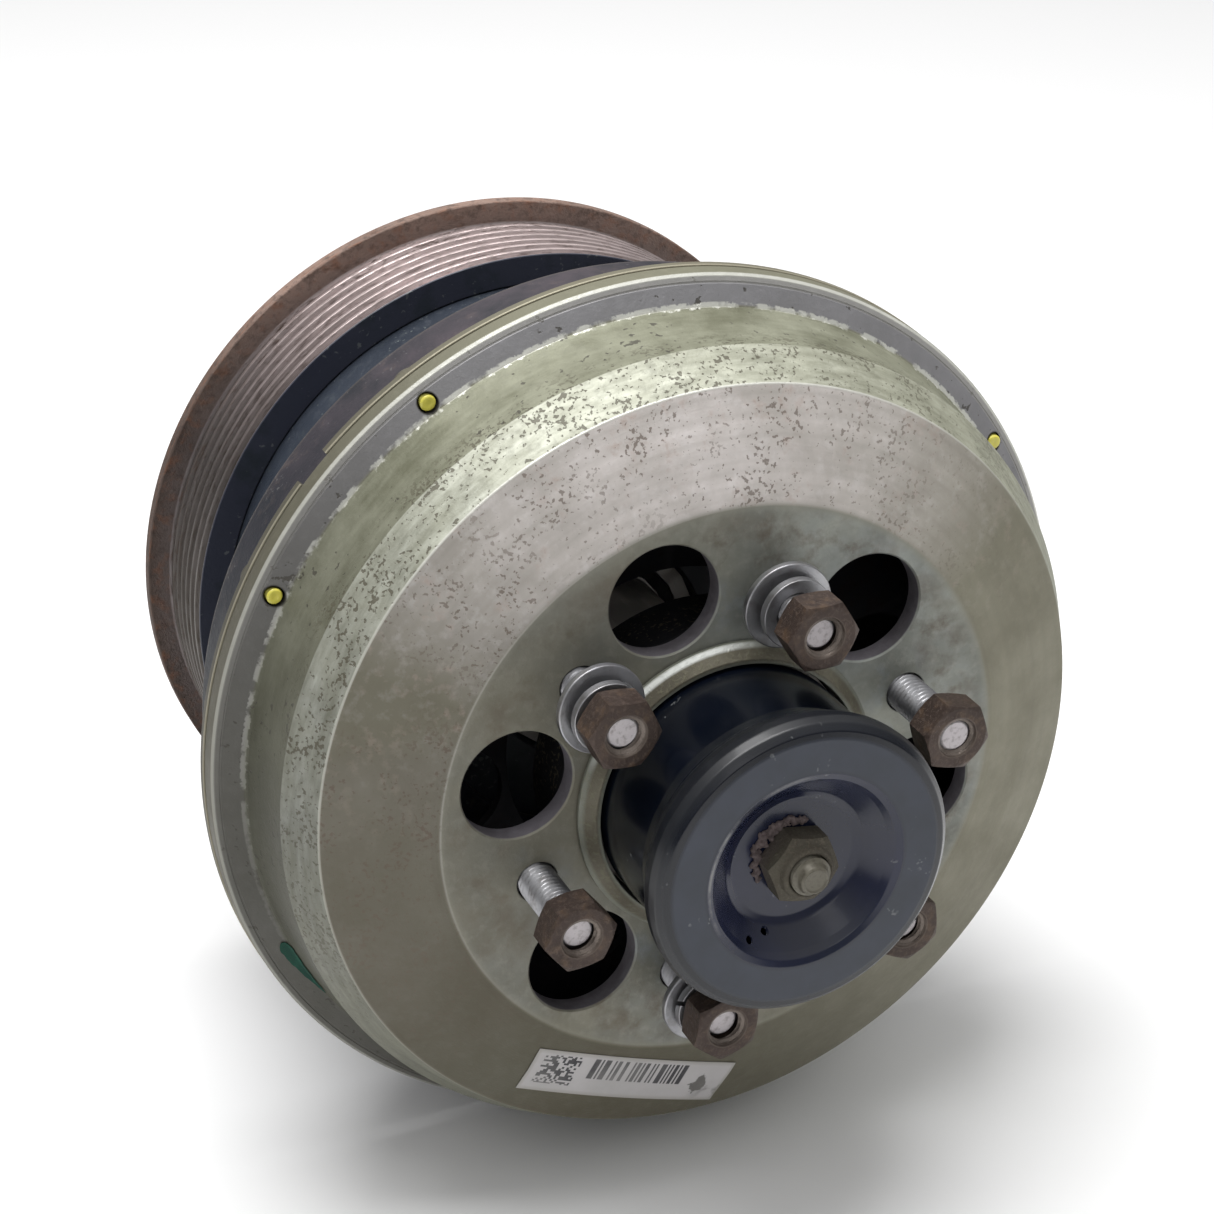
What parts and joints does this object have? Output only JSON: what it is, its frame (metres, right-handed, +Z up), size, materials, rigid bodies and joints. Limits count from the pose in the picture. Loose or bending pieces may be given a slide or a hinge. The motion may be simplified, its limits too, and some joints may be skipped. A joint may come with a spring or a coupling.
{
  "type": "electromagnetic fan clutch",
  "caption": "Engine cooling fan clutch: grooved belt pulley, black rotor, sprung armature plate and a cast aluminium fan hub with studs, turning on a fixed spindle with a black end cap.",
  "frame": {"origin": "centre of the rear mounting face", "axes": "-Y along the clutch axis towards the fan, +Z up, +X to the right seen from the fan side"},
  "size_m": [0.1904, 0.1786, 0.1904],
  "materials": {
    "worn_steel": "worn, grey",
    "black_paint": "gloss black, worn",
    "black_steel": "black, scratched",
    "dark_steel": "blue-grey, dull",
    "winding": "varnished copper wire",
    "rubber": "matt",
    "friction": "rough lining",
    "cast_aluminium": "olive-grey, pitted",
    "yellow_paint": "yellow dot",
    "zinc": "zinc plated",
    "brown_steel": "brown, oxidised"
  },
  "bodies": {
    "mount_body": {"spindle": "worn_steel", "mounting_flange": "worn_steel", "coil_housing": "worn_steel", "coil_winding": "winding", "coil_grommet": "rubber", "coil_screw_1": "zinc", "coil_screw_2": "zinc", "coil_screw_3": "zinc", "rear_bearing_inner": "worn_steel", "bearing_spacer": "worn_steel", "front_bearing_inner": "worn_steel", "spindle_locknut": "worn_steel", "dust_cap": "black_paint", "centre_nut": "brown_steel"},
    "pulley_body": {"pulley": "worn_steel", "rotor": "black_steel", "rear_bearing_outer": "worn_steel", "rear_bearing_seal": "rubber"},
    "fan_hub": {"drum": "cast_aluminium", "rear_ring": "cast_aluminium", "carrier_plate": "dark_steel", "bearing_retainer": "cast_aluminium", "front_bearing_outer": "worn_steel", "front_bearing_seal": "rubber", "leaf_spring_1": "worn_steel", "leaf_spring_2": "worn_steel", "leaf_spring_3": "worn_steel", "spring_rivet_1": "zinc", "spring_rivet_2": "zinc", "spring_rivet_3": "zinc", "pin_1": "yellow_paint", "pin_2": "yellow_paint", "pin_3": "yellow_paint", "pin_4": "yellow_paint", "pin_5": "yellow_paint", "pin_6": "yellow_paint", "stud_1": "zinc", "stud_2": "zinc", "stud_3": "zinc", "stud_4": "zinc", "stud_5": "zinc", "stud_6": "zinc", "nut_1": "brown_steel", "nut_2": "brown_steel", "nut_3": "brown_steel", "nut_4": "brown_steel", "nut_5": "brown_steel", "nut_6": "brown_steel", "washer_1": "zinc", "washer_4": "zinc", "washer_6": "zinc", "spring_washer_1": "zinc", "spring_washer_4": "zinc", "spring_washer_6": "zinc"},
    "armature_body": {"armature": "dark_steel", "armature_post_1": "dark_steel", "armature_post_2": "dark_steel", "armature_post_3": "dark_steel", "friction_ring": "friction"}
  },
  "joints": [
    {"name": "pulley_spin", "type": "hinge", "parent": "mount_body", "child": "pulley_body", "pos_m": [0, -0.06, 0], "axis": [0, 1, 0], "continuous": true},
    {"name": "fan_spin", "type": "hinge", "parent": "mount_body", "child": "fan_hub", "pos_m": [0, -0.128, 0], "axis": [0, 1, 0], "continuous": true},
    {"name": "armature_pull", "type": "slide", "parent": "fan_hub", "child": "armature_body", "axis": [0, 1, 0], "range_m": [0, 0.00075], "stiffness_N_per_m": 20000}
  ]
}
